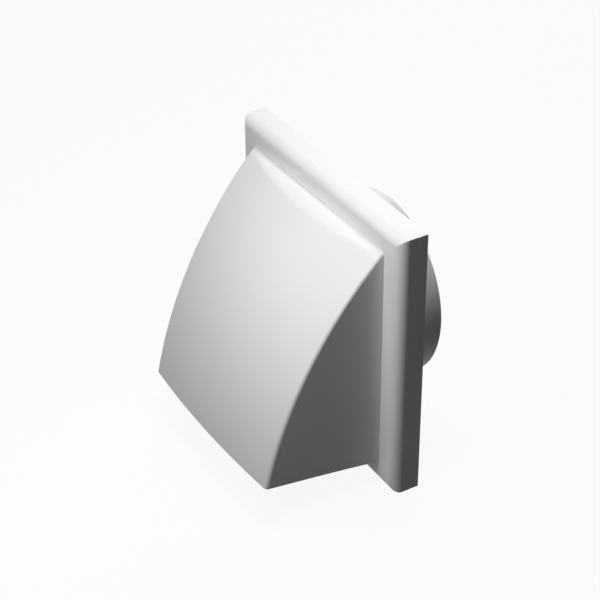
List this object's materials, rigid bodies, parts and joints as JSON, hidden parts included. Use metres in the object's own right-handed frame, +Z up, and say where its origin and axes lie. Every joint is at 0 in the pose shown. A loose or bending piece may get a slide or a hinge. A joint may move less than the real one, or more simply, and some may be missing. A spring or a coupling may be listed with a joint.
{
  "type": "hooded eave vent",
  "caption": "Hooded square outlet vent: a bowed cowl open below, a gravity flap on a hinge pin, and a base plate with a round duct spigot behind.",
  "frame": {"origin": "centre of the four screw holes on the wall face of the base plate, on the spigot's axis", "axes": "+X to the right seen from the front, +Y into the wall along the spigot, +Z up; the hood faces -Y"},
  "size_m": [0.187, 0.1389, 0.187],
  "materials": {
    "cowl_white": "satin moulded",
    "base_white": "satin moulded",
    "flap_white": "satin moulded",
    "seal_grey": "closed-cell foam",
    "pin_steel": "drawn"
  },
  "bodies": {
    "housing": {"cowl": "cowl_white", "base_plate": "base_white", "flap_seal": "seal_grey", "hinge_pin": "pin_steel"},
    "flap": {"flap": "flap_white"}
  },
  "joints": [
    {"name": "flap_hinge", "type": "hinge", "parent": "housing", "child": "flap", "pos_m": [0, -0.00955, 0.0681], "axis": [-1, 0, 0], "range_deg": [0, 36]}
  ]
}
